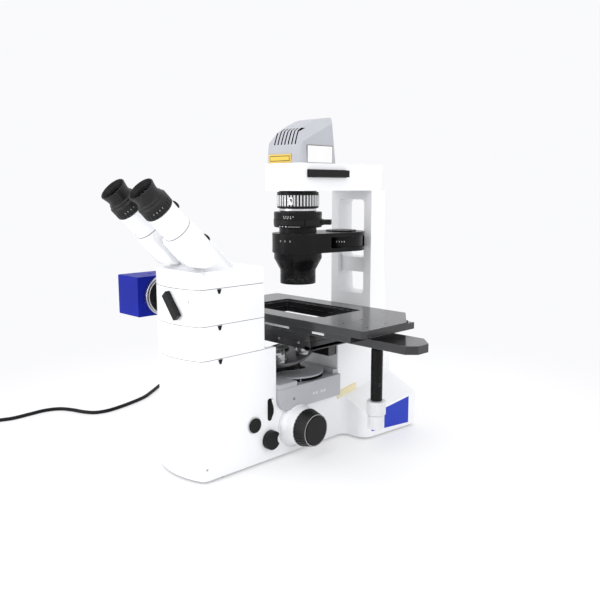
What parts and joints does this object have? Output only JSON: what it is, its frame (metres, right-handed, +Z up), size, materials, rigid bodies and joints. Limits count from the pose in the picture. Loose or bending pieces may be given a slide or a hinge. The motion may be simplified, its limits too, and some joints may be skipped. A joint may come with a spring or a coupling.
{
  "type": "inverted microscope",
  "caption": "Inverted laboratory microscope with binocular tube, side camera, mechanical stage, tilted nosepiece and a lamp arm with condenser above the specimen.",
  "frame": {"origin": "where the optical axis meets the table", "axes": "+X to the user's right, +Y away from the user, +Z up along the optical axis"},
  "size_m": [0.837, 0.8605, 0.5534],
  "materials": {
    "white_shell": "gloss",
    "grey_shell": "satin",
    "lamp_shell": "satin",
    "black_anodised": "satin",
    "black_plastic": "matte",
    "black_rubber": "matte",
    "silver_metal": "satin",
    "steel": "brushed",
    "blue_paint": "satin",
    "blue_plastic": "satin",
    "grey_plastic": "satin",
    "clear_glass": "polished"
  },
  "bodies": {
    "stand": {"stand_body": "white_shell", "base_plate": "black_plastic", "feet": "black_rubber", "side_panels": "blue_plastic", "rear_panel": "grey_shell", "power_inlet": "black_plastic", "lower_tube_module": "white_shell", "camera_port_module": "white_shell", "binocular_base": "white_shell", "module_clamps": "black_plastic", "swing_spindle": "steel", "lamp_pillar": "white_shell", "lamp_arm": "white_shell", "lamp_housing": "lamp_shell", "lamp_board": "silver_metal", "lamp_lenses": "clear_glass", "condenser_body": "black_anodised", "stage_carrier": "black_anodised", "reflector_housing": "grey_shell", "reflector_deck": "grey_shell", "focus_bosses": "white_shell", "focus_rail": "steel", "camera_adapter": "silver_metal", "camera_body": "blue_paint", "cord_plugs": "black_rubber", "cord": "black_rubber", "cord_coil": "black_rubber"},
    "right_tube": {"right_prism_arm": "white_shell", "right_tube_caps": "black_plastic", "right_eyepiece": "black_plastic", "right_eye_lens": "clear_glass", "right_eyecup": "black_rubber"},
    "right_dioptre": {"right_dioptre_ring": "black_plastic"},
    "left_tube": {"left_prism_arm": "white_shell", "left_tube_caps": "black_plastic", "left_eyepiece": "black_plastic", "left_eye_lens": "clear_glass", "left_eyecup": "black_rubber"},
    "left_dioptre": {"left_dioptre_ring": "black_plastic"},
    "port_lever": {"port_lever": "black_plastic"},
    "drawer": {"filter_drawer": "black_plastic", "drawer_filters": "clear_glass"},
    "field_ring": {"field_ring": "silver_metal"},
    "aperture_lever": {"aperture_lever": "black_plastic"},
    "contrast_turret": {"contrast_turret": "black_anodised"},
    "cross_slide": {"cross_slide": "black_anodised", "stage_drive_sleeve": "black_anodised"},
    "top_plate": {"top_plate": "black_anodised"},
    "upper_drive_knob": {"upper_drive_knob": "grey_plastic"},
    "lower_drive_knob": {"lower_drive_knob": "grey_plastic"},
    "nosepiece_carriage": {"nosepiece_bracket": "black_anodised"},
    "nosepiece": {"nosepiece_disc": "silver_metal", "objectives": "silver_metal"},
    "reflector_turret": {"reflector_wheel": "black_plastic", "filter_cubes": "black_anodised"},
    "coarse_focus": {"coarse_focus": "black_plastic"},
    "fine_focus": {"fine_focus": "black_plastic"},
    "power_button": {"power_button": "black_plastic"},
    "intensity_wheel": {"intensity_wheel": "black_plastic"},
    "light_path_knob": {"light_path_knob": "black_plastic"}
  },
  "joints": [
    {"name": "right_tube_swing", "type": "hinge", "parent": "stand", "child": "right_tube", "pos_m": [0, -0.331, 0.436], "axis": [0, 0.7071, -0.7071], "range_deg": [-44, 0]},
    {"name": "left_tube_swing", "type": "hinge", "parent": "stand", "child": "left_tube", "pos_m": [0, -0.331, 0.436], "axis": [0, 0.7071, -0.7071], "range_deg": [0, 44]},
    {"name": "right_dioptre_turn", "type": "hinge", "parent": "right_tube", "child": "right_dioptre", "pos_m": [0.036, -0.331, 0.436], "axis": [0, 0.7071, -0.7071], "range_deg": [-160, 160]},
    {"name": "left_dioptre_turn", "type": "hinge", "parent": "left_tube", "child": "left_dioptre", "pos_m": [-0.036, -0.331, 0.436], "axis": [0, 0.7071, -0.7071], "range_deg": [-160, 160]},
    {"name": "port_lever_turn", "type": "hinge", "parent": "stand", "child": "port_lever", "pos_m": [-0.003, -0.263, 0.279], "axis": [0, 1, 0], "range_deg": [0, 80]},
    {"name": "filter_drawer_slide", "type": "slide", "parent": "stand", "child": "drawer", "axis": [1, 0, 0], "range_m": [0, 0.06]},
    {"name": "field_ring_turn", "type": "hinge", "parent": "stand", "child": "field_ring", "pos_m": [0, 0, 0.415], "axis": [0, 0, 1], "range_deg": [-60, 60]},
    {"name": "aperture_lever_turn", "type": "hinge", "parent": "stand", "child": "aperture_lever", "pos_m": [0, 0, 0.38], "axis": [0, 0, 1], "range_deg": [-45, 30]},
    {"name": "contrast_turret_turn", "type": "hinge", "parent": "stand", "child": "contrast_turret", "pos_m": [0.018, 0.09, 0.3445], "axis": [0, 0, 1], "continuous": true},
    {"name": "stage_y_slide", "type": "slide", "parent": "stand", "child": "cross_slide", "axis": [0, 1, 0], "range_m": [-0.052, 0.03]},
    {"name": "stage_x_slide", "type": "slide", "parent": "cross_slide", "child": "top_plate", "axis": [1, 0, 0], "range_m": [-0.065, 0.065]},
    {"name": "upper_drive_knob_turn", "type": "hinge", "parent": "cross_slide", "child": "upper_drive_knob", "pos_m": [0.17, 0.009, 0.088], "axis": [0, 0, 1], "range_deg": [-335, 195]},
    {"name": "lower_drive_knob_turn", "type": "hinge", "parent": "cross_slide", "child": "lower_drive_knob", "pos_m": [0.17, 0.009, 0.065], "axis": [0, 0, 1], "range_deg": [-416, 416]},
    {"name": "coarse_turn", "type": "hinge", "parent": "stand", "child": "coarse_focus", "pos_m": [0, -0.063, 0.05], "axis": [1, 0, 0], "range_deg": [-366, 504]},
    {"name": "fine_turn", "type": "hinge", "parent": "stand", "child": "fine_focus", "pos_m": [0, -0.063, 0.05], "axis": [1, 0, 0], "continuous": true},
    {"name": "nosepiece_focus", "type": "slide", "parent": "stand", "child": "nosepiece_carriage", "axis": [0, 0, 1], "range_m": [-0.004, 0.0055]},
    {"name": "nosepiece_turn", "type": "hinge", "parent": "nosepiece_carriage", "child": "nosepiece", "pos_m": [0, -0.03477, 0.15868], "axis": [0, -0.2588, 0.9659], "continuous": true},
    {"name": "reflector_turn", "type": "hinge", "parent": "stand", "child": "reflector_turret", "pos_m": [0, -0.02, 0.1195], "axis": [0, 0, 1], "continuous": true},
    {"name": "power_button_press", "type": "slide", "parent": "stand", "child": "power_button", "axis": [-1, 0, 0], "range_m": [0, 0.002], "stiffness_N_per_m": 400},
    {"name": "intensity_turn", "type": "hinge", "parent": "stand", "child": "intensity_wheel", "pos_m": [0.042, -0.12, 0.087], "axis": [0, 1, 0], "range_deg": [-150, 150]},
    {"name": "light_path_turn", "type": "hinge", "parent": "stand", "child": "light_path_knob", "pos_m": [0.057, -0.121, 0.038], "axis": [1, 0, 0], "range_deg": [0, 90]}
  ],
  "couplings": [
    {"joint": "left_tube_swing", "follows": "right_tube_swing", "ratio": -1},
    {"joint": "upper_drive_knob_turn", "follows": "stage_y_slide", "rad_per_m": 111},
    {"joint": "lower_drive_knob_turn", "follows": "stage_x_slide", "rad_per_m": 111},
    {"joint": "coarse_turn", "follows": "nosepiece_focus", "rad_per_m": 1570.8}
  ]
}
